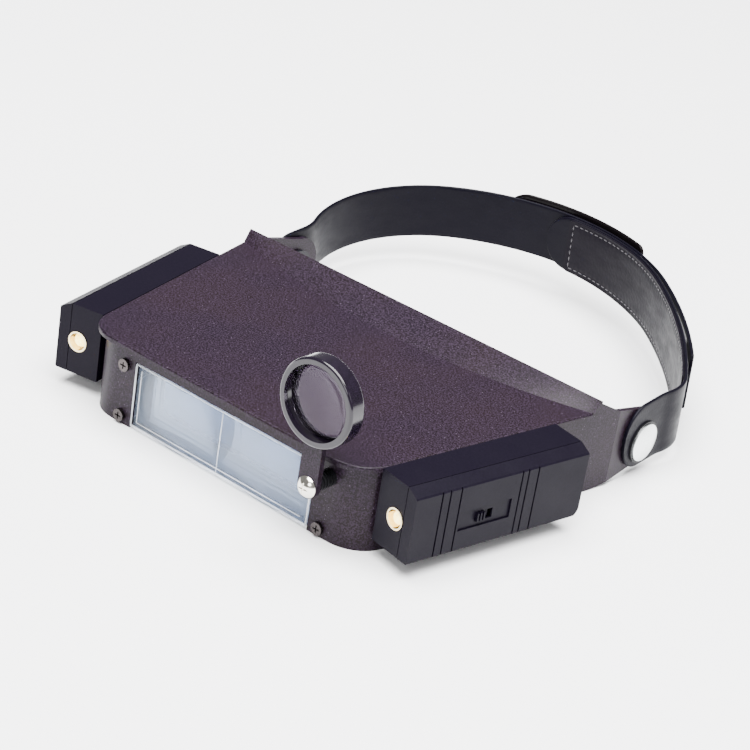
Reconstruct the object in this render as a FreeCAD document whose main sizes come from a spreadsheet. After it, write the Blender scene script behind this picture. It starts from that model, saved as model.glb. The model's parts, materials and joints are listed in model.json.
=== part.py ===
import FreeCAD, Part
import math
import os
from FreeCAD import Placement, Rotation, Vector

# Head visor magnifier: a moulded visor with a binocular lens plate, a second
# flip-down lens, a swing-in loupe and a lamp box on each side, hung from a
# strap headband by two rivets.  Millimetres, +Z up, -Y the way the wearer
# looks, +X the wearer's left, origin under the middle of the whole object.

DIMS = {
    # where the ear fronts stand in the frame, and the pivot line behind them
    "front_y": -124.46, "pivot_y": 143.9, "pivot_z": 14.8,
    # visor shell
    "wall": 2.2, "top_z": 36.6, "corner_x": 70.6, "corner_y": -4.7,
    "corner_round": 16, "side_angle": 11.2, "wall_inset": 1.2,
    "fold_side_y": 108, "fold_mid_y": 92, "brow_y": 112, "brow_rise": 4.5,
    "window_half": 47, "window_top": 28.7,
    "arm_x": 95, "arm_end_y": 146, "arm_end_z": 16.7, "arm_round": 12,
    # main lens plate and its screws
    "lens_half": 57, "lens_base": 0.4, "lens_high": 30.4, "lens_thick": 3.6,
    "lens_gap": 2.3, "lens_bulge": 90, "lens_sag": 2.7,
    "ear_screw_x": 52.3, "ear_screw_low": 3.4, "ear_screw_high": 25.3,
    "ear_screw_shank": 1.2, "ear_screw_head": 2.6, "head_high": 1.4,
    # flip-down lens
    "flip_y": 14, "flip_z": 30.8, "flip_half": 42, "flip_drop": 23,
    "flip_thick": 3, "pin_play": 0.05,
    # loupe
    "loupe_x": 54, "loupe_z": 26, "loupe_reach": 34.4, "loupe_y": -11.6,
    "loupe_outer": 17, "loupe_deep": 7.6, "loupe_arm_wide": 9,
    "loupe_arm_thick": 2.4, "loupe_shank": 1.6,
    # lamp boxes
    "lamp_start": 10.7, "lamp_long": 84.3, "lamp_base": 6.85,
    "lamp_top": 36.45, "case_wide": 14.4, "lid_gap": 0.3, "lamp_wide": 20,
    "lid_drop": 2.9, "lamp_wall": 1.6, "bulb_out": 10.4, "bulb_z": 21.1,
    "bulb_round": 4.3, "cell_round": 5.25, "cell_long": 44.5,
    "switch_travel": 4,
    # headband
    "band_tilt": 4, "band_high": 26, "band_lift": 3.8, "band_round": 12,
    "strap_thick": 1.4, "strap_space": 1.6, "lining_thick": 1,
    "rivet_round": 3, "cap_round": 8, "fit_gap": 0.3,
}

doc = FreeCAD.newDocument("visor_magnifier")
sheet = doc.addObject("Spreadsheet::Sheet", "dims")
for row, (alias, number) in enumerate(DIMS.items(), 1):
    sheet.set("A%d" % row, alias)
    sheet.set("B%d" % row, str(number))
    sheet.setAlias("B%d" % row, alias)
doc.recompute()

SIDES = (("left", 1), ("right", -1))
FACING = {"X": Rotation(Vector(0, 1, 0), 90), "Y": Rotation(Vector(1, 0, 0), -90), "Z": Rotation()}
nodes = []


def dim(alias):
    return float(sheet.get(alias))


def keep(item, label):
    """Take an object as one finished sub-part."""
    item.Label = label
    nodes.append(item)
    return item


# ---- primitives whose sizes and places are expressions on the sheet ----

def bind(item, **cells):
    for name, text in cells.items():
        item.setExpression(name, str(text))
    return item


def put(item, x, y, z):
    for axis, text in zip("xyz", (x, y, z)):
        item.setExpression(".Placement.Base." + axis, str(text))
    return item


def box(x, y, z, wide, deep, high):
    item = doc.addObject("Part::Box", "block")
    bind(item, Length=wide, Width=deep, Height=high)
    return put(item, x, y, z)


def rod(facing, x, y, z, radius, length):
    """A cylinder that runs from the given point along +X, +Y or +Z."""
    item = doc.addObject("Part::Cylinder", "rod")
    item.Placement = Placement(Vector(), FACING[facing])
    bind(item, Radius=radius, Height=length)
    return put(item, x, y, z)


def ball(x, y, z, radius):
    item = doc.addObject("Part::Sphere", "ball")
    bind(item, Radius=radius)
    return put(item, x, y, z)


def join(*shapes):
    item = doc.addObject("Part::MultiFuse", "joined")
    item.Shapes = list(shapes)
    return item


def cut(base, *tools):
    item = doc.addObject("Part::Cut", "cut")
    item.Base = base
    item.Tool = tools[0] if len(tools) == 1 else join(*tools)
    return item


def common(base, tool):
    item = doc.addObject("Part::Common", "common")
    item.Base = base
    item.Tool = tool
    return item


def group(*shapes):
    """Separate solids that share one node."""
    item = doc.addObject("Part::Compound", "set")
    item.Links = list(shapes)
    return item


def mirror_x(item):
    copy = doc.addObject("Part::Mirroring", "mirrored")
    copy.Source = item
    copy.Normal = Vector(1, 0, 0)
    copy.Base = Vector()
    return copy


def checked(item):
    doc.recompute()
    if item.Shape.isNull() or not item.Shape.isValid():
        raise RuntimeError("bad shape: " + item.Label)
    return item


# ---- PartDesign bodies: closed sketches on the body's own origin planes ----

def new_body(name):
    return doc.addObject("PartDesign::Body", name)


def draw(body, role, edges, offset="0"):
    plane = [f for f in body.Origin.OriginFeatures if f.Role == role][0]
    sketch = body.newObject("Sketcher::SketchObject", "outline")
    sketch.AttachmentSupport = (plane, [""])
    sketch.MapMode = "FlatFace"
    sketch.setExpression(".AttachmentOffset.Base.z", offset)
    sketch.addGeometry(edges, False)
    doc.recompute()
    return sketch


def pad(body, sketch, length, both_ways=False):
    feature = body.newObject("PartDesign::Pad", "pad")
    feature.Profile = sketch
    feature.Midplane = both_ways
    feature.setExpression("Length", str(length))
    doc.recompute()
    return feature


def pocket(body, sketch, length, both_ways=False, turned=False):
    """Cut the sketch into the body, and make sure that it removes something."""
    before = body.Shape.Volume
    feature = body.newObject("PartDesign::Pocket", "pocket")
    feature.Profile = sketch
    feature.Midplane = both_ways
    feature.Reversed = turned
    feature.setExpression("Length", str(length))
    doc.recompute()
    if body.Shape.Volume > before - 1e-3:
        raise RuntimeError("a pocket in %s cuts nothing" % body.Name)
    return feature


def soften(body, radius, wanted):
    """Fillet the edges of the body that the test picks."""
    tip = body.Tip
    names = ["Edge%d" % (i + 1) for i, edge in enumerate(tip.Shape.Edges) if wanted(edge)]
    feature = body.newObject("PartDesign::Fillet", "round")
    feature.Base = (tip, names)
    feature.Radius = radius
    doc.recompute()
    return feature


def lines(points):
    """A closed outline of straight edges."""
    ring = points + points[:1]
    return [Part.LineSegment(Vector(*a, 0), Vector(*b, 0)) for a, b in zip(ring, ring[1:])]


def rectangle(x0, y0, x1, y1):
    return lines([(x0, y0), (x1, y0), (x1, y1), (x0, y1)])


def arc(a, mid, b):
    return Part.Arc(Vector(*a, 0), Vector(*mid, 0), Vector(*b, 0))


# ---- the visor's plan: straight front, rounded corners, splayed sides ----

front = dim("front_y")
splay = math.radians(dim("side_angle"))
spread = math.tan(splay)


def side_x(y, inset=0):
    """Half width of the visor at y, measured back from the ear fronts."""
    return dim("corner_x") + (y - dim("corner_y")) * spread - inset / math.cos(splay)


def corner(front_line, inset, radius):
    """Start, middle and end of the rounded front corner on the +X side."""
    x = side_x(front_line, inset)
    reach = radius * math.tan((math.pi / 2 - splay) / 2)
    start = (x - reach, front_line)
    end = (x + reach * math.sin(splay), front_line + reach * math.cos(splay))
    centre = (start[0], front_line + radius)
    half = (math.pi / 2 - splay) / 2
    middle = (centre[0] + radius * math.sin(half), centre[1] - radius * math.cos(half))
    return start, middle, end


def moved(point, side=1):
    return (point[0] * side, point[1] + front)


def half_plan(front_line, inset, radius, tail, side):
    """Edges from the middle of the front round one corner and along a side."""
    start, middle, end = corner(front_line, inset, radius)
    stops = [end] + tail
    edges = [Part.LineSegment(Vector(0, front_line + front, 0), Vector(*moved(start, side), 0))]
    edges.append(arc(moved(start, side), moved(middle, side), moved(end, side)))
    for a, b in zip(stops, stops[1:]):
        edges.append(Part.LineSegment(Vector(*moved(a, side), 0), Vector(*moved(b, side), 0)))
    return edges


def join_line(a, b):
    return Part.LineSegment(Vector(*a, 0), Vector(*b, 0))


# ---- visor shell ----

def top_plate(body):
    fold_x = side_x(dim("fold_side_y"))
    tail = [(fold_x, dim("fold_side_y"))]
    edges = []
    for side in (1, -1):
        edges += half_plan(dim("corner_y"), 0, dim("corner_round"), tail, side)
    ends = [moved(tail[0], side) for side in (1, -1)]
    edges.append(arc(ends[0], (0, dim("fold_mid_y") + front), ends[1]))
    pad(body, draw(body, "XY_Plane", edges, "dims.top_z - dims.wall"), "dims.wall")
    rim = dim("fold_mid_y") + front

    def outer_rim(edge):
        centre = edge.CenterOfMass
        flat = edge.BoundBox.ZLength < 1e-4 and centre.z > dim("top_z") - 0.01
        return flat and not (centre.y > rim - 1 and abs(centre.x) < 1)
    soften(body, 0.9, outer_rim)


def arm_tail(inset):
    """The side wall runs on at its splay, then parallel to the middle line."""
    x = dim("arm_x") - inset
    bend = dim("corner_y") + (x + (dim("wall_inset") + inset) / math.cos(splay) - dim("corner_x")) / spread
    return [(x, bend), (x, dim("arm_end_y") + dim("arm_round"))]


def side_walls(body):
    edges = []
    for inset in (0, dim("wall")):
        for side in (1, -1):
            radius = dim("corner_round") - inset
            edges += half_plan(inset, dim("wall_inset") + inset, radius, arm_tail(inset), side)
    for side in (1, -1):
        outer = arm_tail(0)[-1]
        inner = arm_tail(dim("wall"))[-1]
        edges.append(join_line(moved(outer, side), moved(inner, side)))
    return draw(body, "XY_Plane", edges), "dims.top_z + dims.brow_rise - 1"


def above_and_below(body):
    """Side view of what is cut from the walls: the space over and under the arms."""
    plate = dim("top_z") - dim("wall") / 2
    lip = dim("top_z") + dim("brow_rise") - 1.6
    end_y = dim("arm_end_y") + front
    end_z = dim("arm_end_z")
    radius = dim("arm_round")
    far = end_y + radius + 4
    over = [(front - 10, plate), (dim("fold_side_y") + front - 1, plate),
            (dim("brow_y") + front - 1.2, lip), (dim("brow_y") + front + 1, lip),
            (dim("brow_y") + front + 12, dim("top_z") - 2.8), (end_y, end_z + radius)]
    curve = [arc((end_y, end_z + radius), (end_y + radius, end_z), (end_y, end_z - radius))]
    under = [(end_y, end_z - radius), (dim("brow_y") + front + 2, 0), (dim("brow_y") + front + 2, -5),
             (far, -5), (far, 60), (front - 10, 60), (front - 10, plate)]
    edges = curve
    for path in (over, under):
        edges += [join_line(a, b) for a, b in zip(path, path[1:])]
    return draw(body, "YZ_Plane", edges)


def shell_body():
    body = new_body("shell_plate")
    top_plate(body)
    walls = new_body("shell_walls")
    sketch, height = side_walls(walls)
    pad(walls, sketch, height)
    pocket(walls, above_and_below(walls), 400, both_ways=True)
    window = rectangle(-dim("window_half"), -2, dim("window_half"), dim("window_top"))
    pocket(walls, draw(walls, "XZ_Plane", window, "-dims.front_y + 3"), 12)
    doc.recompute()
    return body, walls


def brow():
    """The rear strip: from the curved fold up to a straight rear edge."""
    half_fold = side_x(dim("fold_side_y"))
    half_rear = side_x(dim("brow_y"))
    side_y = dim("fold_side_y") + front
    fold = Part.Arc(Vector(-half_fold, side_y, dim("top_z")),
                    Vector(0, dim("fold_mid_y") + front, dim("top_z")),
                    Vector(half_fold, side_y, dim("top_z"))).toShape()
    high = dim("top_z") + dim("brow_rise")
    rear_y = dim("brow_y") + front
    rear = Part.LineSegment(Vector(-half_rear, rear_y, high), Vector(half_rear, rear_y, high)).toShape()
    item = doc.addObject("Part::Feature", "brow")
    item.Shape = Part.makeRuledSurface(fold, rear).extrude(Vector(0, 0, -dim("wall")))
    return item


def ear_holes():
    """Clearance holes for the lens screws and the loupe's screw."""
    places = (("dims.ear_screw_x", "dims.ear_screw_low"), ("-dims.ear_screw_x", "dims.ear_screw_low"),
              ("-dims.ear_screw_x", "dims.ear_screw_high"))
    holes = [rod("Y", x, "dims.front_y - 4", z, "dims.ear_screw_shank + dims.pin_play", 12) for x, z in places]
    holes.append(rod("Y", "dims.loupe_x", "dims.front_y - 4", "dims.loupe_z",
                     "dims.loupe_shank + dims.pin_play", 12))
    return holes


def visor_shell():
    plate, walls = shell_body()
    pivot = rod("X", -110, "dims.front_y + dims.pivot_y", "dims.pivot_z",
                "dims.rivet_round + dims.pin_play", 220)
    shell = cut(join(plate, walls, brow()), pivot, *ear_holes())
    return keep(checked(shell), "visor_shell")


# ---- main lens plate: two magnifying halves side by side ----

LENS_FRONT = "dims.front_y + dims.lens_gap"


def lens_half(side):
    """One plano-convex half: a slab rounded by a large ball."""
    start = 0 if side > 0 else "-dims.window_half + 0.6"
    slab = box(start, "dims.front_y + dims.lens_gap - dims.lens_sag - 1", "dims.lens_base",
               "dims.window_half - 0.6", "dims.lens_sag + 2", "dims.lens_high - 4")
    middle = "%d * (dims.window_half - 0.6) / 2" % side
    bulge = ball(middle, "dims.front_y + dims.lens_gap - dims.lens_sag + dims.lens_bulge",
                 "dims.lens_base + dims.lens_high / 2 - 1", "dims.lens_bulge")
    return common(slab, bulge)


def main_lens():
    plate = box("-dims.lens_half", LENS_FRONT, "dims.lens_base",
                "2 * dims.lens_half", "dims.lens_thick", "dims.lens_high")
    lens = cut(join(plate, lens_half(1), lens_half(-1)), *ear_holes())
    return keep(checked(lens), "main_lens")


def cross_recess(x, y, z, size, depth):
    """The cross slots of a screw head that faces the front."""
    long_way = box("%s - %s / 2" % (x, size), y, "%s - 0.3" % z, size, depth, 0.6)
    high_way = box("%s - 0.3" % x, y, "%s - %s / 2" % (z, size), 0.6, depth, size)
    return long_way, high_way


def lens_screws():
    """Three pan-head screws with their nuts behind the lens plate."""
    screws = []
    nuts = []
    behind = "dims.front_y + dims.lens_gap + dims.lens_thick"
    for x, z in (("dims.ear_screw_x", "dims.ear_screw_low"), ("-dims.ear_screw_x", "dims.ear_screw_low"),
                 ("-dims.ear_screw_x", "dims.ear_screw_high")):
        head = rod("Y", x, "dims.front_y - dims.head_high", z, "dims.ear_screw_head", "dims.head_high")
        shank = rod("Y", x, "dims.front_y - 0.2", z, "dims.ear_screw_shank", 9)
        top = "dims.front_y - dims.head_high - 0.1"
        screws.append(cut(join(head, shank), *cross_recess(x, top, z, 3, 0.8)))
        bore = rod("Y", x, behind + " - 1", z, "dims.ear_screw_shank + dims.pin_play", 5)
        nuts.append(cut(nut_blank(x, behind, z, 2.5, 1.8), bore))
    keep(checked(group(*screws)), "lens_screws")
    keep(checked(group(*nuts)), "lens_nuts")


def nut_blank(x, y, z, across, thick):
    """A hexagon across the Y direction."""
    item = doc.addObject("Part::Prism", "hexagon")
    item.Polygon = 6
    item.Placement = Placement(Vector(), FACING["Y"])
    bind(item, Circumradius=across, Height=thick)
    return put(item, x, y, z)


# ---- flip-down lens under the top plate ----

def flip_lens():
    half = "dims.flip_half"
    low = "dims.flip_z - dims.flip_drop - 3"
    slab_y = "dims.front_y + dims.flip_y - dims.flip_thick / 2"
    glass = box("-" + half, slab_y, low, "2 * " + half, "dims.flip_thick", "dims.flip_drop")
    glass = doc_fillet(glass, 6, lambda e: e.BoundBox.YLength > 1 and e.CenterOfMass.z < 10)
    keep(checked(glass), "flip_lens")
    bar = box("-dims.flip_half - 1.5", "dims.front_y + dims.flip_y - 2.4", "dims.flip_z - 4.2",
              "2 * dims.flip_half + 3", 4.8, 6)
    slot = box("-" + half, slab_y, "dims.flip_z - 6", "2 * " + half, "dims.flip_thick", 3)
    bore = rod("X", -60, "dims.front_y + dims.flip_y", "dims.flip_z", 1, 120)
    keep(checked(cut(bar, slot, bore)), "flip_lens_clip")
    rail = rod("X", "-dims.flip_half - 5", "dims.front_y + dims.flip_y", "dims.flip_z", 1,
               "2 * dims.flip_half + 10")
    keep(checked(rail), "flip_hinge_pin")
    for name, side in SIDES:
        x = "dims.flip_half + 1.8" if side > 0 else "-dims.flip_half - 1.8 - 3"
        cheek = box(x, "dims.front_y + dims.flip_y - 3.5", "dims.flip_z - 3",
                    3, 7, "dims.top_z - dims.wall - dims.flip_z + 3")
        hole = rod("X", -60, "dims.front_y + dims.flip_y", "dims.flip_z", "1 + dims.pin_play", 120)
        keep(checked(cut(cheek, hole)), "flip_bracket_" + name)


def doc_fillet(item, radius, wanted):
    doc.recompute()
    feature = doc.addObject("Part::Fillet", "rounded")
    feature.Base = item
    feature.Edges = [(i + 1, radius, radius) for i, e in enumerate(item.Shape.Edges) if wanted(e)]
    doc.recompute()
    return feature


# ---- loupe on its pivot screw ----

def loupe():
    x = "dims.loupe_x"
    z = "dims.loupe_z"
    centre_z = "dims.loupe_z + dims.loupe_reach"
    face = "dims.front_y + dims.loupe_y - dims.loupe_arm_thick / 2"
    back = "dims.front_y + dims.loupe_y + dims.loupe_arm_thick / 2"
    bore = rod("Y", x, face + " - 1", z, "dims.loupe_shank + dims.pin_play", 6)
    bar = box("dims.loupe_x - dims.loupe_arm_wide / 2", face, z, "dims.loupe_arm_wide",
              "dims.loupe_arm_thick", "dims.loupe_reach - dims.loupe_outer + 1")
    eye = rod("Y", x, face, z, "dims.loupe_arm_wide / 2", "dims.loupe_arm_thick")
    clear = rod("Y", x, face + " - 5", centre_z, "dims.loupe_outer", 20)
    keep(checked(cut(join(bar, eye), bore, clear)), "loupe_arm")
    rim_y = "dims.front_y + dims.loupe_y - dims.loupe_deep / 2"
    ring = rod("Y", x, rim_y, centre_z, "dims.loupe_outer", "dims.loupe_deep")
    ring = doc_fillet(ring, 1.1, lambda e: abs(e.Length - 2 * math.pi * dim("loupe_outer")) < 1)
    through = rod("Y", x, rim_y + " - 1", centre_z, "dims.loupe_outer - 2.6", "dims.loupe_deep + 2")
    seat = rod("Y", x, rim_y + " + 1.6", centre_z, "dims.loupe_outer - 1.8", "dims.loupe_deep")
    keep(checked(cut(ring, through, seat)), "loupe_ring")
    disc = rod("Y", x, rim_y, centre_z, "dims.loupe_outer - 1.8", 6)
    ahead = ball(x, rim_y + " + 0.9 + 36", centre_z, 36)
    behind = ball(x, rim_y + " + 6.4 - 36", centre_z, 36)
    band = box("dims.loupe_x - 20", rim_y + " + 1.6", centre_z + " - 20", 40, 5, 40)
    lens = common(common(common(disc, ahead), behind), band)
    keep(checked(lens), "loupe_lens")
    keeper_y = "dims.front_y + dims.loupe_y + dims.loupe_deep / 2 - 1.4"
    keeper = rod("Y", x, keeper_y, centre_z, "dims.loupe_outer - 1.8", 1.1)
    hole = rod("Y", x, keeper_y + " - 1", centre_z, "dims.loupe_outer - 3", 4)
    keep(checked(cut(keeper, hole)), "loupe_retaining_ring")
    # fixed parts: a ribbed spacer, the screw through it and a nut
    spacer_y = "dims.front_y"
    spacer = rod("Y", x, back + " + 0.15", z, 3.4, spacer_y + " - (" + back + ") - 0.15")
    spacer_bore = rod("Y", x, back, z, "dims.loupe_shank + dims.pin_play", 14)
    grooves = [cut(rod("Y", x, back + " + %s" % step, z, 5, 0.6), rod("Y", x, back, z, 2.9, 14))
               for step in (1.6, 3.2, 4.8, 6.4, 8)]
    keep(checked(cut(spacer, spacer_bore, *grooves)), "loupe_spacer")
    head = cut(ball(x, face + " - 0.15 + 2.6", z, 5), box("dims.loupe_x - 9", face + " - 0.15", "dims.loupe_z - 9",
                                                       18, 12, 18))
    shank = rod("Y", x, face + " - 0.6", z, "dims.loupe_shank", 23)
    slots = cross_recess(x, face + " - 4", z, 4.4, 2)
    keep(checked(cut(join(head, shank), *slots)), "loupe_screw")
    nut_y = "dims.front_y + dims.lens_gap + dims.lens_thick"
    nut_bore = rod("Y", x, nut_y + " - 1", z, "dims.loupe_shank + dims.pin_play", 6)
    keep(checked(cut(nut_blank(x, nut_y, z, 3.6, 2.4), nut_bore)), "loupe_nut")


# ---- lamp boxes: local frame with x outward from the visor's side line,
# y backward from the front corner and z up; the right one is the mirror ----

LAMP_PLACE = Placement(Vector(dim("corner_x"), dim("corner_y") + front, 0),
                       Rotation(Vector(0, 0, 1), -dim("side_angle")))


def place_lamp(item, side, label):
    item.Placement = LAMP_PLACE.multiply(item.Placement)
    if side < 0:
        item = mirror_x(item)
    return keep(checked(item), label)


def round_rear_foot(item):
    end = dim("lamp_start") + dim("lamp_long")
    return doc_fillet(item, 4, lambda e: e.BoundBox.XLength > 1 and e.BoundBox.YLength < 0.01
                      and e.BoundBox.ZLength < 0.01 and abs(e.CenterOfMass.y - end) < 0.01
                      and e.CenterOfMass.z < dim("lamp_base") + 0.01)


def lamp_case(side, name):
    height = "dims.lamp_top - dims.lamp_base"
    blank = round_rear_foot(box(0, "dims.lamp_start", "dims.lamp_base", "dims.case_wide", "dims.lamp_long", height))
    hollow = box("dims.lamp_wall", "dims.lamp_start + dims.lamp_wall", "dims.lamp_base + dims.lamp_wall",
                 "dims.case_wide", "dims.lamp_long - 2 * dims.lamp_wall", height + " - 2 * dims.lamp_wall")
    mouth = rod("Y", "dims.bulb_out", "dims.lamp_start - 1", "dims.bulb_z", "dims.bulb_round + dims.pin_play", 6)
    pads = [rod("X", "-dims.wall_inset", y, "dims.bulb_z", 4, "dims.wall_inset + 0.4") for y in (24, 80)]
    bores = [rod("X", -3, y, "dims.bulb_z", "1.25 + dims.pin_play", 9) for y in (24, 80)]
    case = cut(join(blank, *pads), hollow, mouth, *bores)
    place_lamp(case, side, "lamp_case_" + name)


def lamp_lid(side, name):
    inner = dim("case_wide") + dim("lid_gap")
    outer = dim("lamp_wide")
    low, top = dim("lamp_base"), dim("lamp_top")
    begin, end = dim("lamp_start"), dim("lamp_start") + dim("lamp_long")
    body = new_body("lid_" + name)
    profile = [(inner, low), (outer - 0.5, low), (outer, low + 0.5), (outer, top - dim("lid_drop")),
               (outer - 0.6, top - dim("lid_drop") + 0.5), (inner, top)]
    pad(body, draw(body, "XZ_Plane", lines(profile), "-dims.lamp_start - dims.lamp_long"), "dims.lamp_long")
    soften(body, 4, lambda e: e.BoundBox.XLength > 1 and e.BoundBox.YLength < 0.01
           and e.BoundBox.ZLength < 0.01 and abs(e.CenterOfMass.y - end) < 0.01 and e.CenterOfMass.z < low + 0.01)
    shelf = rectangle(begin + 1.6, low + 1.8, end - 1.6, top - 4.6)
    pocket(body, draw(body, "YZ_Plane", shelf, "%s" % inner), outer - inner - 1.6, turned=True)
    face = []
    for y in (12.2, 16, 21.2, 50.8, 53.8, 58.8):
        face += rectangle(begin + y - 0.35, low - 1, begin + y + 0.35, top)
    pocket(body, draw(body, "YZ_Plane", face, "dims.lamp_wide - 0.5"), 3, turned=True)
    recess = rectangle(begin + 22.4, 15.4, begin + 47.4, 23.4)
    pocket(body, draw(body, "YZ_Plane", recess, "dims.lamp_wide - 0.7"), 3, turned=True)
    window = rectangle(begin + 30.6, 17.2, begin + 30.6 + 4.4 + dim("switch_travel"), 21.2)
    pocket(body, draw(body, "YZ_Plane", window, "%s - 1" % inner), 9, turned=True)
    doc.recompute()
    body.Placement = LAMP_PLACE
    lid = body if side > 0 else mirror_x(body)
    keep(checked(lid), "lamp_lid_" + name)


def lamp_switch(side, name):
    """A slider in the lid's window: a flange inside and a ribbed button."""
    y = "dims.lamp_start + 30.9"
    stem = box("dims.lamp_wide - 2.6", y, 17.5, 2.4, 3.8, 3.4)
    flange = box("dims.lamp_wide - 2.7", y + " - 3", 15.6, 0.8, 9.8, 7.2)
    ribs = [box("dims.lamp_wide - 0.3", y + " + %s" % step, 17.5, 0.8, 0.7, 3.4) for step in (0, 1.55, 3.1)]
    slider = join(stem, flange, *ribs)
    place_lamp(slider, side, "switch_slider_" + name)


def lamp_inside(side, name):
    reflector = cut(rod("Y", "dims.bulb_out", "dims.lamp_start - 0.4", "dims.bulb_z", "dims.bulb_round", 7),
                    rod("Y", "dims.bulb_out", "dims.lamp_start - 1", "dims.bulb_z", "dims.bulb_round - 0.7", 6.4))
    reflector = cut(reflector, rod("Y", "dims.bulb_out", "dims.lamp_start", "dims.bulb_z", 1.65, 12))
    place_lamp(reflector, side, "reflector_" + name)
    base = rod("Y", "dims.bulb_out", "dims.lamp_start + 3", "dims.bulb_z", 1.6, 12)
    dome = ball("dims.bulb_out", "dims.lamp_start + 2.9", "dims.bulb_z", 2.9)
    place_lamp(join(base, dome), side, "bulb_" + name)
    start_y = "dims.lamp_start + dims.lamp_long - dims.lamp_wall - 2.2 - dims.cell_long"
    cells = []
    for z in ("dims.lamp_base + 9", "dims.lamp_base + 20.2"):
        can = rod("Y", "7.6", start_y + " + 1", z, "dims.cell_round", "dims.cell_long - 1")
        tip = rod("Y", "7.6", start_y, z, 1.9, 2)
        cells.append(join(can, tip))
    place_lamp(group(*cells), side, "batteries_" + name)
    holder = box(2.4, start_y + " - 1", "dims.lamp_base + 2.4", 10, 0.8, 25)
    plate = box(2.4, "dims.lamp_start + dims.lamp_long - dims.lamp_wall - 0.9", "dims.lamp_base + 6", 10, 0.7, 18)
    place_lamp(group(holder, plate), side, "contact_plates_" + name)
    ridge = cut(box("dims.bulb_out - 3.6", "dims.lamp_start + 8", "dims.bulb_z - 6", 6.8, 5, 12),
                rod("Y", "dims.bulb_out", "dims.lamp_start + 6", "dims.bulb_z", "1.6 + dims.pin_play", 12))
    place_lamp(ridge, side, "bulb_holder_" + name)
    screws = []
    for y in (24, 80):
        head = rod("X", "dims.lamp_wall", y, "dims.bulb_z", 2.3, 1.4)
        shank = rod("X", "-dims.wall_inset - 1.9", y, "dims.bulb_z", 1.25, "dims.lamp_wall + dims.wall_inset + 2.4")
        screws.append(join(head, shank))
    place_lamp(group(*screws), side, "case_screws_" + name)


# ---- headband: a chain of arcs in the tilted band plane; offset 0 is the
# inner face of the left strap and positive offsets lie outside it ----

STRAIGHT = 23
SWEEPS = [(26, -11.5), (21, 16.5), (20, 27), (None, 20), (92, 77), (60, None), (25.5, -26.5)]


def band_chain(start_x, end_x):
    """Headings and lengths of the loop; the back radius closes it sideways."""
    turn = 180 - sum(sweep for radius, sweep in SWEEPS if sweep is not None)
    sweeps = [(radius, turn if sweep is None else sweep) for radius, sweep in SWEEPS]

    def trace(back):
        x, y, heading = start_x, -13 + STRAIGHT, 90
        steps = [((start_x, -13), heading, None, STRAIGHT)]
        for radius, sweep in sweeps:
            signed = math.copysign(radius or back, sweep)
            steps.append(((x, y), heading, signed, abs(math.radians(sweep) * signed)))
            a, b = math.radians(heading), math.radians(heading + sweep)
            x += signed * (math.sin(b) - math.sin(a))
            y -= signed * (math.cos(b) - math.cos(a))
            heading += sweep
        steps.append(((x, y), heading, None, y + 13))
        return steps, x
    near, far = trace(100)[1], trace(200)[1]
    back = 100 + 100 * (end_x - near) / (far - near)
    return trace(back)[0]


def band_point(step, along, offset):
    (x, y), heading, radius, length = step
    a = math.radians(heading)
    if radius is None:
        return (x + along * math.cos(a) + offset * math.sin(a), y + along * math.sin(a) - offset * math.cos(a))
    b = a + along / radius
    reach = radius + offset
    return (x - radius * math.sin(a) + reach * math.sin(b), y + radius * math.cos(a) - reach * math.cos(b))


def band_run(chain, start, stop, offset):
    """Edges of the loop at one offset between two distances along it."""
    edges = []
    base = 0
    for step in chain:
        a = max(start - base, 0)
        b = min(stop - base, step[3])
        if b - a > 1e-6:
            p, q = band_point(step, a, offset), band_point(step, b, offset)
            if step[2] is None:
                edges.append(join_line(p, q))
            else:
                edges.append(arc(p, band_point(step, (a + b) / 2, offset), q))
        base += step[3]
    return edges


def band_at(chain, distance, offset):
    base = 0
    for step in chain:
        if distance <= base + step[3]:
            return band_point(step, distance - base, offset)
        base += step[3]
    return band_point(chain[-1], chain[-1][3], offset)


def layer(chain, start, stop, inner, outer):
    """Closed outline of one strap layer seen from above."""
    edges = band_run(chain, start, stop, inner) + band_run(chain, start, stop, outer)
    for distance in (start, stop):
        edges.append(join_line(band_at(chain, distance, inner), band_at(chain, distance, outer)))
    return edges


BAND_PLACE = Placement(Vector(0, dim("pivot_y") + front, dim("pivot_z")),
                       Rotation(Vector(1, 0, 0), dim("band_tilt")))


def strap(label, outline, round_ends, radius=None, low="0", high="0"):
    """Pad a layer to the strap's height and round the chosen ends."""
    body = new_body(label + "_body")
    base = "dims.band_lift - dims.band_high / 2 + " + low
    pad(body, draw(body, "XY_Plane", outline, base), "dims.band_high - (%s) + (%s)" % (low, high))
    for point in round_ends:
        def at_end(edge, point=point):
            centre = edge.CenterOfMass
            near = math.hypot(centre.x - point[0], centre.y - point[1]) < 2.2
            return near and edge.Length < 4 and edge.BoundBox.ZLength < 1e-3
        soften(body, radius or dim("band_round"), at_end)
    return body


def finish_band(item, label):
    item.Placement = BAND_PLACE
    return keep(checked(item), label)


def pivot_hole(item):
    hole = rod("X", -110, 0, 0, "dims.rivet_round + dims.pin_play", 220)
    return cut(item, hole)


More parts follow.
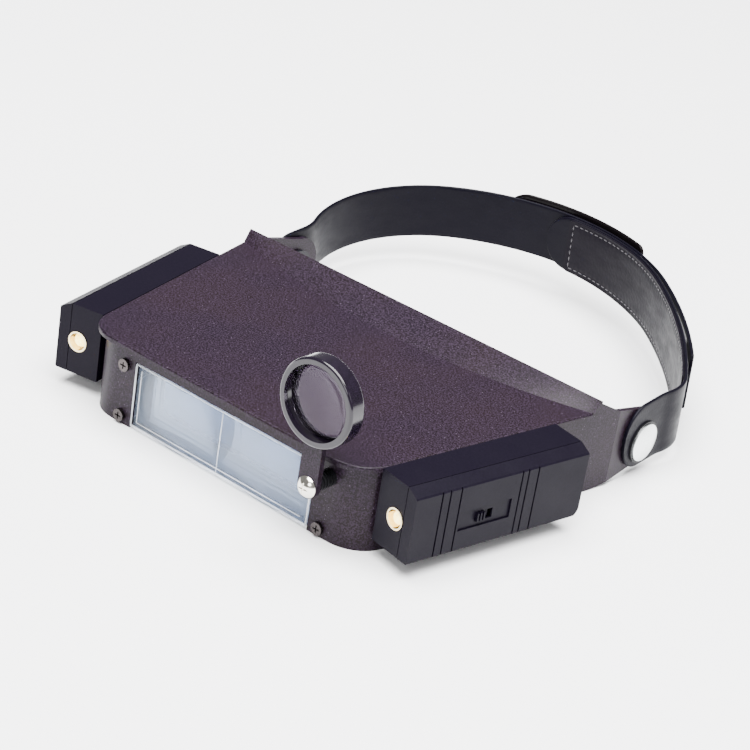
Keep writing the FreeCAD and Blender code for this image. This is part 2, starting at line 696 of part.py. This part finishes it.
def headband():
    strap_t = dim("strap_thick")
    outside = strap_t + dim("strap_space")
    strap_x = dim("arm_x") + dim("fit_gap")
    chain = band_chain(strap_x, -(strap_x - outside))
    total = sum(step[3] for step in chain)
    left_ends = [band_at(chain, 0, strap_t / 2), band_at(chain, 207, strap_t / 2)]
    left = strap("left_strap", layer(chain, 0, 207, 0, strap_t), left_ends, low="-0.5", high="0.5")
    finish_band(pivot_hole(left), "left_strap")
    right = strap("right_strap", layer(chain, 64, total, outside, outside + strap_t),
                  [band_at(chain, total, outside + strap_t / 2)])
    finish_band(pivot_hole(right), "right_strap")
    lining = strap("lining", layer(chain, 44, 196, -dim("lining_thick"), 0), [])
    finish_band(lining, "stitched_lining")
    patch = strap("hook", layer(chain, 80, 194, strap_t, outside), [], low="2", high="-2")
    finish_band(patch, "hook_and_loop_patch")
    tab_in = outside + strap_t
    tab_end = band_at(chain, 230, tab_in + 0.8)
    tab = strap("tab", layer(chain, 156, 230, tab_in, tab_in + 1.6), [tab_end], radius=11, low="1", high="2.5")
    finish_band(tab, "adjusting_tab")
    pivots(strap_x + strap_t)


def pivots(outer_x):
    """Rivet, cap, washer and backing plate of each side pivot."""
    plate_thick, washer_thick, cap_thick, tail_thick = 1.5, 0.8, 2.4, 1
    backing_x = dim("arm_x") - dim("wall") - dim("fit_gap") - plate_thick
    cap_x = outer_x + washer_thick
    bore = rod("X", 80, 0, 0, "dims.rivet_round + dims.pin_play", 40)
    for name, side in SIDES:
        parts = {}
        parts["backing_plate_"] = cut(rod("X", backing_x, 0, 0, 9, plate_thick), bore)
        parts["pivot_washer_"] = cut(rod("X", outer_x, 0, 0, "dims.cap_round + 1", washer_thick), bore)
        dome = common(rod("X", cap_x, 0, 0, "dims.cap_round", cap_thick), ball(cap_x + 1.9 - 24, 0, 0, 24))
        shaft = rod("X", backing_x - tail_thick, 0, 0, "dims.rivet_round", cap_x + 0.3 - backing_x + tail_thick)
        tail = rod("X", backing_x - tail_thick, 0, 0, 5, tail_thick)
        parts["rivet_"] = join(dome, shaft, tail)
        for label, item in parts.items():
            if side < 0:
                item = mirror_x(item)
            finish_band(item, label + name)


visor_shell()
main_lens()
lens_screws()
flip_lens()
loupe()
for side_name, side_sign in SIDES:
    lamp_case(side_sign, side_name)
    lamp_lid(side_sign, side_name)
    lamp_switch(side_sign, side_name)
    lamp_inside(side_sign, side_name)
headband()

doc.recompute()
for item in doc.Objects:
    if "Invalid" in item.State or "Error" in item.State:
        raise RuntimeError("failed: %s %s" % (item.Name, item.State))
os.makedirs("parts", exist_ok=True)
for item in nodes:
    if item.Shape.isNull() or not item.Shape.isValid():
        raise RuntimeError("bad shape: " + item.Label)
    item.Shape.exportStep("parts/%s.step" % item.Label)
whole = Part.makeCompound([item.Shape for item in nodes]).BoundBox
print(len(nodes), "sub-parts; box", [round(v, 2) for v in (whole.XMin, whole.YMin, whole.ZMin,
                                                         whole.XMax, whole.YMax, whole.ZMax)])
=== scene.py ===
import json
import math
import random

import bmesh
import bpy
from mathutils import Matrix, Vector


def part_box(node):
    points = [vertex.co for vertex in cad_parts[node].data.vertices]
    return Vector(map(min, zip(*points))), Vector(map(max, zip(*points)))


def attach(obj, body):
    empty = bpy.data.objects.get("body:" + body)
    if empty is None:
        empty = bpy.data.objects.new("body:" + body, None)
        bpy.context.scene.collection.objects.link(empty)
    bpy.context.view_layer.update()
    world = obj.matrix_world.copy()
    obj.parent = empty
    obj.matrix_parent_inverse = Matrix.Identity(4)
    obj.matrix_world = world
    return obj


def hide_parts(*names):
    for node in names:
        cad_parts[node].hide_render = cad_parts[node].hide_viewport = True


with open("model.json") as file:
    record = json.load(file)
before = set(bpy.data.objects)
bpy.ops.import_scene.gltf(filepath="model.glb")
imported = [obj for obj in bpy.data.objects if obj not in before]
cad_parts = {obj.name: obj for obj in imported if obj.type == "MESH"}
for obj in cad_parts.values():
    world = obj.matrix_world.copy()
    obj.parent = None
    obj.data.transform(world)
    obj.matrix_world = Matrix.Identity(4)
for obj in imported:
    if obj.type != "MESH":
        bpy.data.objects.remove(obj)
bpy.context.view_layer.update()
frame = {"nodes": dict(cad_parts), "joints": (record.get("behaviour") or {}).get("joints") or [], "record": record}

MM = 0.001
NODES = frame["nodes"]
RECORD = frame["record"]


# ---------------------------------------------------------------- materials

class Paint:
    """A node material: one Principled shader with texture nodes in front of it."""

    def __init__(self, name, **inputs):
        self.material = bpy.data.materials.new(name)
        self.material.use_nodes = True
        self.tree = self.material.node_tree
        self.shader = self.tree.nodes["Principled BSDF"]
        self.output = self.tree.nodes["Material Output"]
        self.set(self.shader, inputs)
        self.place = self.node("ShaderNodeTexCoord").outputs["Object"]

    def set(self, node, inputs):
        for key, value in inputs.items():
            node.inputs[key.replace("_", " ")].default_value = value

    def node(self, kind, **settings):
        node = self.tree.nodes.new(kind)
        for key, value in settings.items():
            setattr(node, key, value)
        return node

    def link(self, a, b):
        self.tree.links.new(a, b)

    def noise(self, scale, detail=3.0, roughness=0.55, stretch=None):
        node = self.node("ShaderNodeTexNoise")
        self.set(node, {"Scale": scale, "Detail": detail, "Roughness": roughness})
        self.link(self.stretched(stretch), node.inputs["Vector"])
        return node.outputs["Fac"]

    def cells(self, scale, feature="F1"):
        node = self.node("ShaderNodeTexVoronoi", feature=feature)
        node.inputs["Scale"].default_value = scale
        self.link(self.place, node.inputs["Vector"])
        return node

    def stretched(self, stretch):
        if stretch is None:
            return self.place
        mapping = self.node("ShaderNodeMapping")
        mapping.inputs["Scale"].default_value = stretch
        self.link(self.place, mapping.inputs["Vector"])
        return mapping.outputs["Vector"]

    def ramp(self, source, *stops):
        """A colour ramp: stops are (position, colour) or (position, grey)."""
        node = self.node("ShaderNodeValToRGB")
        band = node.color_ramp
        while len(band.elements) < len(stops):
            band.elements.new(0.5)
        for element, (position, value) in zip(band.elements, stops):
            element.position = position
            colour = tuple(value) if hasattr(value, "__len__") else (value,) * 3
            element.color = colour + (1,)
        self.link(source, node.inputs["Fac"])
        return node.outputs["Color"]

    def mix(self, amount, a, b):
        node = self.node("ShaderNodeMix", data_type="RGBA")
        for socket, value in ((node.inputs[0], amount), (node.inputs[6], a), (node.inputs[7], b)):
            if isinstance(value, bpy.types.NodeSocket):
                self.link(value, socket)
            else:
                socket.default_value = value if isinstance(value, float) else tuple(value) + (1,)
        return node.outputs[2]

    def colour(self, source):
        self.link(source, self.shader.inputs["Base Color"])

    def rough(self, source, low, high):
        self.link(self.ramp(source, (0.3, low), (0.7, high)), self.shader.inputs["Roughness"])

    def bump(self, *layers):
        """Stack bumps: (height source, distance in metres, strength)."""
        normal = None
        for source, distance, strength in layers:
            node = self.node("ShaderNodeBump")
            self.set(node, {"Distance": distance, "Strength": strength})
            self.link(source, node.inputs["Height"])
            if normal:
                self.link(normal, node.inputs["Normal"])
            normal = node.outputs["Normal"]
        self.link(normal, self.shader.inputs["Normal"])


def visor_plastic():
    """Dark violet-brown moulding with fine grain and metal flecks."""
    paint = Paint("visor_plastic", Specular_IOR_Level=0.11, Coat_Weight=0.025, Coat_Roughness=0.25)
    cloudy = paint.noise(22, 2)
    base = paint.ramp(cloudy, (0.35, (0.0030, 0.0013, 0.0036)), (0.65, (0.0054, 0.0024, 0.0034)))
    grain = paint.noise(1500, 2, 0.7)
    base = paint.mix(paint.ramp(grain, (0.44, 0.0), (0.61, 1.0)), base, (0.0190, 0.0112, 0.0215))
    fleck = paint.cells(1150)
    spot = paint.ramp(fleck.outputs["Distance"], (0.12, 1.0), (0.24, 0.0))
    lottery = paint.ramp(fleck.outputs["Color"], (0.80, 0.0), (0.86, 0.75))
    chosen = paint.node("ShaderNodeMath", operation="MULTIPLY")
    paint.link(spot, chosen.inputs[0])
    paint.link(lottery, chosen.inputs[1])
    paint.colour(paint.mix(chosen.outputs[0], base, (0.12, 0.095, 0.13)))
    paint.rough(grain, 0.34, 0.52)
    paint.bump((grain, 0.00012, 0.35), (paint.noise(260, 2), 0.0002, 0.12))
    return paint.material


def moulded(name, dark, light, rough, coat=0.04, grain=900, depth=0.35, shine=0.12):
    """Plain moulded plastic with faint mottling and a fine bump."""
    paint = Paint(name, Specular_IOR_Level=shine, Coat_Weight=coat, Coat_Roughness=0.2)
    mottled = paint.noise(grain, 3, 0.65)
    paint.colour(paint.ramp(mottled, (0.3, dark), (0.7, light)))
    paint.rough(paint.noise(60, 4), rough[0], rough[1])
    paint.bump((mottled, 0.00008, depth))
    return paint.material


def vinyl(name, dark, light, scale, depth, rough):
    """Leathery vinyl: soft cells, creases and a slow change of colour."""
    paint = Paint(name, Sheen_Weight=0.01, Sheen_Roughness=0.4, Specular_IOR_Level=0.065)
    cell = paint.cells(scale, "SMOOTH_F1")
    crease = paint.noise(90, 4, 0.6, (1, 1, 2.5))
    slow = paint.noise(14, 2)
    paint.colour(paint.mix(paint.ramp(cell.outputs["Distance"], (0.1, 0.0), (0.8, 0.6)),
                           paint.ramp(slow, (0.3, dark), (0.7, light)), dark))
    paint.rough(crease, rough[0], rough[1])
    paint.bump((cell.outputs["Distance"], 0.00012, depth), (crease, 0.00025, depth * 0.5))
    return paint.material


def metal(name, colour, rough, brushed=None, wear=0.3):
    paint = Paint(name, Metallic=1.0)
    streak = paint.noise(500, 3, 0.6, brushed)
    tint = tuple(channel * (1 - wear) for channel in colour)
    paint.colour(paint.ramp(streak, (0.25, tint), (0.75, colour)))
    paint.rough(streak, rough[0], rough[1])
    paint.bump((streak, 0.00004, 0.25))
    return paint.material


def clear(name, colour, haze, haze_amount, gloss):
    """Clear acrylic or glass: see-through, with a slight haze and a gloss at grazing angles."""
    paint = Paint(name)
    see = paint.node("ShaderNodeBsdfTransparent")
    see.inputs["Color"].default_value = colour + (1,)
    cloud = paint.node("ShaderNodeBsdfDiffuse")
    cloud.inputs["Color"].default_value = haze + (1,)
    body = paint.node("ShaderNodeMixShader")
    smear = paint.ramp(paint.noise(35, 3), (0.3, haze_amount * 0.75), (0.7, haze_amount))
    paint.link(smear, body.inputs[0])
    paint.link(see.outputs[0], body.inputs[1])
    paint.link(cloud.outputs[0], body.inputs[2])
    shine = paint.node("ShaderNodeBsdfGlossy")
    shine.inputs["Roughness"].default_value = 0.04
    edge = paint.node("ShaderNodeFresnel")
    edge.inputs["IOR"].default_value = gloss
    whole = paint.node("ShaderNodeMixShader")
    paint.link(edge.outputs[0], whole.inputs[0])
    paint.link(body.outputs[0], whole.inputs[1])
    paint.link(shine.outputs[0], whole.inputs[2])
    paint.link(whole.outputs[0], paint.output.inputs["Surface"])
    paint.tree.nodes.remove(paint.shader)
    return paint.material


def glowing(name, colour, strength):
    paint = Paint(name, Roughness=0.2, Emission_Strength=strength)
    spots = paint.noise(700, 2)
    glow = paint.ramp(spots, (0.3, colour), (0.7, (1.0, 0.92, 0.50)))
    paint.colour(glow)
    paint.link(glow, paint.shader.inputs["Emission Color"])
    return paint.material


def pile(name):
    """Hook and loop pile: a felted tangle."""
    paint = Paint(name, Roughness=0.95, Sheen_Weight=0.5)
    tangle = paint.noise(1600, 5, 0.8)
    paint.colour(paint.ramp(tangle, (0.3, (0.008, 0.008, 0.01)), (0.7, (0.05, 0.048, 0.055))))
    paint.bump((tangle, 0.0004, 0.9))
    return paint.material


def thread_material():
    paint = Paint("thread", Roughness=0.6, Sheen_Weight=0.4)
    twist = paint.noise(2600, 2)
    paint.colour(paint.ramp(twist, (0.3, (0.008, 0.006, 0.010)), (0.7, (0.040, 0.033, 0.044))))
    paint.bump((twist, 0.0001, 0.6))
    return paint.material


MATERIALS = {
    "visor_plastic": visor_plastic(),
    "lens_acrylic": clear("lens_acrylic", (0.80, 0.87, 0.98), (0.66, 0.76, 0.92), 0.16, 1.3),
    # rim ridges: the white haze is painted highlight, standing in for light glinting on the clear lens edges and
    # in the gap under the top plate
    "lens_rim_painted_highlight": clear("lens_rim_painted_highlight", (0.86, 0.91, 1.0), (0.92, 0.95, 1.0), 0.55, 1.4),
    "loupe_glass": clear("loupe_glass", (0.90, 0.86, 0.93), (0.75, 0.66, 0.80), 0.006, 1.18),
    "loupe_plastic": moulded("loupe_plastic", (0.0035, 0.0020, 0.0050), (0.0060, 0.0035, 0.0085),
                             (0.10, 0.16), 0.25, 400, 0.1, 0.3),
    "black_fixings": moulded("black_fixings", (0.004, 0.004, 0.005), (0.008, 0.008, 0.009), (0.3, 0.5)),
    "dark_screws": metal("dark_screws", (0.075, 0.065, 0.065), (0.2, 0.4)),
    "nickel": metal("nickel", (0.86, 0.82, 0.74), (0.08, 0.2), wear=0.2),
    "lamp_plastic": moulded("lamp_plastic", (0.0024, 0.0016, 0.0044), (0.0038, 0.0026, 0.0064), (0.34, 0.48),
                            0.01, 1100, 0.3, 0.055),
    "reflector_metal": metal("reflector_metal", (0.95, 0.80, 0.50), (0.05, 0.15)),
    "bulb_glass": glowing("bulb_glass", (1.0, 0.72, 0.16), 3.6),
    "cell_jacket": metal("cell_jacket", (0.16, 0.17, 0.19), (0.3, 0.4)),
    "contact_steel": metal("contact_steel", (0.66, 0.65, 0.62), (0.2, 0.35), (1, 30, 1)),
    "strap_vinyl": vinyl("strap_vinyl", (0.0016, 0.0012, 0.0036), (0.0026, 0.0020, 0.0052), 1300, 0.35,
                         (0.34, 0.5)),
    "tab_vinyl": vinyl("tab_vinyl", (0.0020, 0.0014, 0.0018), (0.0034, 0.0024, 0.0030), 1300, 0.3,
                       (0.16, 0.3)),
    "lining_leatherette": vinyl("lining_leatherette", (0.0026, 0.0018, 0.0040), (0.0042, 0.0030, 0.0062), 750,
                                0.6, (0.38, 0.55)),
    "hook_fabric": pile("hook_fabric"),
    "thread": thread_material(),
    "rivet_metal": metal("rivet_metal", (0.83, 0.86, 0.86), (0.24, 0.38), (40, 1, 1), 0.12),
    "backing_plastic": moulded("backing_plastic", (0.005, 0.005, 0.007), (0.009, 0.008, 0.012), (0.3, 0.45)),
}

for entry in RECORD["subparts"]:
    node = NODES[entry["node"]]
    node.data.materials.clear()
    node.data.materials.append(MATERIALS[entry["material_slot"]])


# ------------------------------------------------ the headband's arc chain
# Distances in millimetres, in the band's tilted plane: x across, y back from
# the pivots.  Distances along the band run from the near strap's front end,
# TIP ahead of its pivot.  Offset 0 is the near strap's inner face, positive
# outside.  One arc's radius and one sweep are open: they close the loop.

TIP = 13
STRAIGHT = TIP + 10
SWEEPS = [(26, -11.5), (21, 16.5), (20, 27), (None, 20), (92, 77), (60, None), (25.5, -26.5)]
STRAP, SPACE, TAB, LINING = 1.4, 1.6, 1.6, 1.0
OUTSIDE = STRAP + SPACE
START_X = 95.3
END_X = OUTSIDE - START_X
TILT = 4
BAND_LOW, BAND_HIGH = -9.2, 16.8
NEAR_END = 207
FAR_START = 64
PATCH = (80, 194)
TAB_SPAN = (156, 230)
LINING_START, LINING_STOP = 44, 196


def band_chain():
    turn = 180 - sum(sweep for radius, sweep in SWEEPS if sweep is not None)
    sweeps = [(radius, turn if sweep is None else sweep) for radius, sweep in SWEEPS]

    def trace(back):
        x, y, heading = START_X, STRAIGHT - TIP, 90
        steps = [((START_X, -TIP), 90, None, STRAIGHT)]
        for radius, sweep in sweeps:
            signed = math.copysign(radius or back, sweep)
            steps.append(((x, y), heading, signed, abs(math.radians(sweep) * signed)))
            a, b = math.radians(heading), math.radians(heading + sweep)
            x += signed * (math.sin(b) - math.sin(a))
            y -= signed * (math.cos(b) - math.cos(a))
            heading += sweep
        steps.append(((x, y), heading, None, y + TIP))
        return steps, x
    near, far = trace(100)[1], trace(200)[1]
    return trace(100 + 100 * (END_X - near) / (far - near))[0]


CHAIN = band_chain()
LOOP = sum(step[3] for step in CHAIN)
PIVOT = [joint for joint in frame["joints"] if joint["name"] == "visor_tilt"][0]["pos_m"]
BAND = Matrix.Translation(PIVOT) @ Matrix.Rotation(math.radians(TILT), 4, "X")


def band_point(distance, offset, high):
    """A point of the band in the row frame, in metres."""
    left = distance
    for step in CHAIN:
        if left <= step[3] or step is CHAIN[-1]:
            break
        left -= step[3]
    (x, y), heading, radius = step[:3]
    a = math.radians(heading)
    if radius is None:
        x += left * math.cos(a) + offset * math.sin(a)
        y += left * math.sin(a) - offset * math.cos(a)
    else:
        b = a + left / radius
        x += (radius + offset) * math.sin(b) - radius * math.sin(a)
        y += radius * math.cos(a) - (radius + offset) * math.cos(b)
    return BAND @ Vector((x * MM, y * MM, high * MM))


# ------------------------------------------------------------ mesh building

def piece(name, mesh, slot, body):
    item = bpy.data.objects.new(name, mesh)
    bpy.context.scene.collection.objects.link(item)
    mesh.materials.append(MATERIALS[slot])
    for face in mesh.polygons:
        face.use_smooth = True
    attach(item, body)
    return item


def finished(name, bm):
    bmesh.ops.remove_doubles(bm, verts=bm.verts, dist=1e-7)
    bmesh.ops.recalc_face_normals(bm, faces=bm.faces)
    mesh = bpy.data.meshes.new(name)
    bm.to_mesh(mesh)
    bm.free()
    return mesh


def rounding(distance, radius):
    """How far a rounded end pulls in the edge, this far from the tip."""
    if not radius or distance >= radius:
        return 0.0
    return radius - math.sqrt(max(radius ** 2 - (radius - distance) ** 2, 0))


def near_flare(s, z):
    """The padded end of the near strap widens a little away from its tip."""
    wide = min(max((NEAR_END - 4 - s) / 60, 0), 1)
    ease = wide * wide * (3 - 2 * wide)
    middle = (BAND_LOW + BAND_HIGH) / 2
    return z + (z - middle) / 13 * ease * (1.4 if z < middle else 0.6)


FLAT_STEPS = 18
EDGE_STEPS = 6


def ribbon(name, start, stop, inner, outer, low, high, ends=(0, 0), edge=0.45, relief=None, step=1.2,
           warp=None):
    """A strap layer with soft edges and rounded ends; relief(s, z) moves the inner face."""
    half = (outer - inner) / 2
    edge = min(edge, half * 0.98)
    count = max(8, int((stop - start) / step))
    stations = {start + (stop - start) * i / count for i in range(count + 1)}
    for radius, tip, way in ((ends[0], start, 1), (ends[1], stop, -1)):
        for i in range(FLAT_STEPS if radius else 0):
            stations.add(tip + way * radius * (1 - math.cos(math.pi / 2 * i / FLAT_STEPS)))
    bm = bmesh.new()
    rings = []
    for s in sorted(stations):
        pull = max(rounding(s - start, ends[0]), rounding(stop - s, ends[1]))
        bottom, top = low + pull, high - pull
        profile = []
        for i in range(FLAT_STEPS + 1):
            z = bottom + edge + (top - bottom - 2 * edge) * i / FLAT_STEPS
            dent = relief(s, z) if relief else 0
            profile.append((inner + dent, z))
        for i in range(1, EDGE_STEPS):
            a = math.pi * i / EDGE_STEPS
            profile.append((inner + half - half * math.cos(a), top - edge + edge * math.sin(a)))
        for i in range(FLAT_STEPS, -1, -1):
            profile.append((outer, bottom + edge + (top - bottom - 2 * edge) * i / FLAT_STEPS))
        for i in range(1, EDGE_STEPS):
            a = math.pi * i / EDGE_STEPS
            profile.append((inner + half + half * math.cos(a), bottom + edge - edge * math.sin(a)))
        rings.append([bm.verts.new(band_point(s, d, warp(s, z) if warp else z)) for d, z in profile])
    for a, b in zip(rings, rings[1:]):
        for i in range(len(a)):
            j = (i + 1) % len(a)
            bm.faces.new((a[i], a[j], b[j], b[i]))
    bm.faces.new(rings[0][::-1])
    bm.faces.new(rings[-1])
    return finished(name, bm)


STITCH_PITCH = 2.9
STITCH_LONG = 2.0
THREAD = 0.22


def stitches(name, runs, offset, warp=None):
    """Thread stitches: small rounded dashes laid along runs of band points."""
    bm = bmesh.new()
    dice = random.Random(7)
    for a, b in runs:
        along = (b[0] - a[0], b[1] - a[1])
        length = math.hypot(*along)
        count = int(length / STITCH_PITCH)
        for i in range(count):
            t = (i + 0.5) / count
            s, z = a[0] + along[0] * t, a[1] + along[1] * t
            z = warp(s, z) if warp else z
            middle = band_point(s, offset, z)
            ahead = band_point(s + along[0] / length * 0.5, offset, z + along[1] / length * 0.5)
            side = band_point(s, offset - 0.5, z)
            x = (ahead - middle).normalized()
            y = (side - middle).normalized()
            turn = dice.uniform(-0.09, 0.09)
            x = (x + x.cross(y) * turn).normalized()
            grid = Matrix((x, y, x.cross(y))).transposed().to_4x4()
            place = Matrix.Translation(middle) @ grid @ Matrix.Diagonal(
                (STITCH_LONG / 2 * MM, THREAD * MM, THREAD * 1.1 * MM, 1))
            bmesh.ops.create_uvsphere(bm, u_segments=8, v_segments=6, radius=1, matrix=place)
    return finished(name, bm)


# -------------------------------------------------------------- headband

LINING_LOW, LINING_HIGH = BAND_LOW, BAND_HIGH
SEAM = 2.2


def lining_relief(s, z):
    """Foam-backed lining: it dips at the stitch line and swells inside it."""
    edge = min(z - LINING_LOW, LINING_HIGH - z, s - LINING_START, LINING_STOP - s)
    groove = math.exp(-((edge - SEAM) / 0.6) ** 2) * 0.42
    pucker = 0.10 * math.sin(s * 2 * math.pi / STITCH_PITCH) * math.exp(-((edge - SEAM) / 1.4) ** 2)
    slack = 0.10 * math.sin(s * 0.19) * math.sin(z * 0.27 + s * 0.05)
    return groove + pucker + slack + 0.15 - 0.15 * min(max(edge, 0) / 6, 1)


def strap_wave(s, z):
    return 0.06 * math.sin(s * 0.17) * math.cos(z * 0.3 + s * 0.03)


def layer(name, node, slot, span, depth, heights, ends=(0, 0), **shape):
    item = piece(name, ribbon(name, *span, *depth, *heights, ends, **shape), slot, "headband")
    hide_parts(node)
    return item


def headband():
    layer("near_strap", "left_strap", "strap_vinyl", (0, NEAR_END), (0, STRAP),
          (BAND_LOW - 0.3, BAND_HIGH + 0.3), (12, 12), relief=strap_wave, warp=near_flare)
    layer("far_strap", "right_strap", "strap_vinyl", (FAR_START, LOOP),
          (OUTSIDE, OUTSIDE + STRAP), (BAND_LOW, BAND_HIGH), (1, 12), relief=strap_wave)
    layer("hook_pile", "hook_and_loop_patch", "hook_fabric", PATCH, (STRAP, OUTSIDE),
          (BAND_LOW + 2, BAND_HIGH - 2), edge=0.3)
    lining = layer("lining", "stitched_lining", "lining_leatherette", (LINING_START, LINING_STOP),
                   (-LINING, 0), (LINING_LOW, LINING_HIGH), (2, 2), edge=0.5, relief=lining_relief,
                   step=0.7, warp=near_flare)
    tab_in = OUTSIDE + STRAP
    layer("tab", "adjusting_tab", "tab_vinyl", TAB_SPAN, (tab_in, tab_in + TAB),
          (BAND_LOW + 1, BAND_HIGH + 2.5), (3, 11), edge=0.7)
    low, high = LINING_LOW + SEAM, LINING_HIGH - SEAM
    a, b = LINING_START + SEAM, LINING_STOP - SEAM
    sew("lining_stitches", [((a, low), (b, low)), ((a, high), (b, high)), ((a, low), (a, high)),
                            ((b, low), (b, high))], -LINING + THREAD, near_flare)
    low, high = BAND_LOW + 3, BAND_HIGH + 0.2
    a, b = TAB_SPAN[0] + 4, TAB_SPAN[1] - 10
    sew("tab_stitches", [((a, low), (b, low)), ((a, high), (b, high)), ((a, low), (a, high))], tab_in + TAB)


def sew(name, runs, offset, warp=None):
    piece(name, stitches(name, runs, offset, warp), "thread", "headband")


headband()


# ------------------------------------------------------------ clear parts

def loupe_glass():
    """The loupe's lens, turned smooth in the place of its CAD solid."""
    low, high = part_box("loupe_lens")
    middle, radius = (low + high) / 2, (high.x - low.x) / 2
    half, edge = (high.y - low.y) / 2, 0.22
    bm = bmesh.new()
    rings, around = [], 64
    steps = [i / 14 for i in range(15)]
    profile = [(radius * t, -half + half * (1 - edge) * t ** 2) for t in steps]
    profile += [(radius * t, half - half * (1 - edge) * t ** 2) for t in reversed(steps)]
    for reach, depth in profile:
        rings.append([bm.verts.new(middle + Vector((reach * math.cos(a), depth, reach * math.sin(a))))
                      for a in (2 * math.pi * i / around for i in range(around))])
    for a, b in zip(rings, rings[1:]):
        for i in range(around):
            j = (i + 1) % around
            bm.faces.new((a[i], a[j], b[j], b[i]))
    item = piece("loupe_lens_glass", finished("loupe_lens_glass", bm), "loupe_glass", "loupe")
    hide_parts("loupe_lens")


def ridge(bm, a, b, wide, proud):
    """A rounded ridge between two points of the lens face."""
    along = (b - a).normalized()
    side = along.cross(Vector((0, 1, 0)))
    ends = []
    for end in (a, b):
        ends.append([bm.verts.new(end + side * wide * math.cos(t) - Vector((0, 1, 0)) * proud * math.sin(t))
                     for t in (math.pi * i / 6 for i in range(7))])
    for i in range(6):
        bm.faces.new((ends[0][i], ends[0][i + 1], ends[1][i + 1], ends[1][i]))
    for ring in (ends[0], ends[1][::-1]):
        bm.faces.new(ring)


def lens_rims():
    """Raised moulded rim lines of the lens plate, seen inside the window. Their white haze is painted highlight:
    it stands in for light caught on the clear lens edges and in the gap under the top plate.
    """
    low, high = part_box("main_lens")
    face = low.y + 0.0004
    left, right, top, bottom = -0.0462, 0.0462, 0.0281, 0.0016
    bm = bmesh.new()
    corners = [Vector((x, face, z)) for x, z in ((left, bottom), (left, top), (right, top), (right, bottom))]
    inner = [Vector((x, face, z)) for x, z in ((left + 0.003, top - 0.0018), (left + 0.003, bottom + 0.0022),
                                                (right - 0.003, bottom + 0.0022))]
    for path, wide in ((corners + corners[:1], 0.00045), (inner, 0.00022)):
        for a, b in zip(path, path[1:]):
            ridge(bm, a, b, wide, 0.00035)
    ridge(bm, Vector((0, face, bottom)), Vector((0, face, top)), 0.00026, 0.0003)
    # the rim ridges wear the white painted-highlight haze
    piece("lens_rims", finished("lens_rims", bm), "lens_rim_painted_highlight", "visor")


loupe_glass()
lens_rims()


# ------------------------------------------------------ stage, light, camera

def stage():
    mesh = bpy.data.meshes.new("floor")
    reach = 6.0
    mesh.from_pydata([(-reach, -reach, 0), (reach, -reach, 0), (reach, reach, 0), (-reach, reach, 0)], [],
                     [(0, 1, 2, 3)])
    floor = bpy.data.objects.new("floor", mesh)
    bpy.context.scene.collection.objects.link(floor)
    paint = Paint("floor", Roughness=0.9, Specular_IOR_Level=0.1)
    paint.colour(paint.ramp(paint.noise(3, 2), (0.3, (0.86, 0.86, 0.87)), (0.7, (0.88, 0.88, 0.89))))
    mesh.materials.append(paint.material)


def area_light(name, place, target, size, power):
    light = bpy.data.lights.new(name, "AREA")
    light.shape = "DISK"
    light.size = size
    light.energy = power
    item = bpy.data.objects.new(name, light)
    item.location = place
    item.rotation_euler = (Vector(target) - Vector(place)).to_track_quat("-Z", "Y").to_euler()
    bpy.context.scene.collection.objects.link(item)


def world_light(strength):
    world = bpy.data.worlds.new("studio")
    bpy.context.scene.world = world
    world.use_nodes = True
    world.node_tree.nodes["Background"].inputs["Color"].default_value = (1.0, 1.0, 1.0, 1)
    world.node_tree.nodes["Background"].inputs["Strength"].default_value = strength


def camera():
    """The photograph's view, placed from the visor's front edge."""
    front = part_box("visor_shell")[0].y + 4.7 * MM
    right = Vector((0.7523, 0.6425, 0.1456))
    up = Vector((-0.3890, 0.2550, 0.8852))
    back = right.cross(up).normalized()
    up = back.cross(right.normalized())
    data = bpy.data.cameras.new("camera")
    data.sensor_width = 36
    data.lens = 109.4
    data.clip_start = 0.01
    item = bpy.data.objects.new("camera", data)
    turn = Matrix((right.normalized(), up, back)).transposed().to_4x4()
    item.matrix_world = Matrix.Translation((0.4897, front - 0.5752, 0.4246)) @ turn
    bpy.context.scene.collection.objects.link(item)
    bpy.context.scene.camera = item


stage()
world_light(0.32)
area_light("top", (0.2, -0.3, 2.4), (0, 0, 0), 3.0, 480)
area_light("front", (0.7, -1.6, 0.9), (0, 0, 0), 0.8, 16)
area_light("side", (1.7, 0.2, 0.9), (0, 0, 0.02), 0.7, 4)
camera()
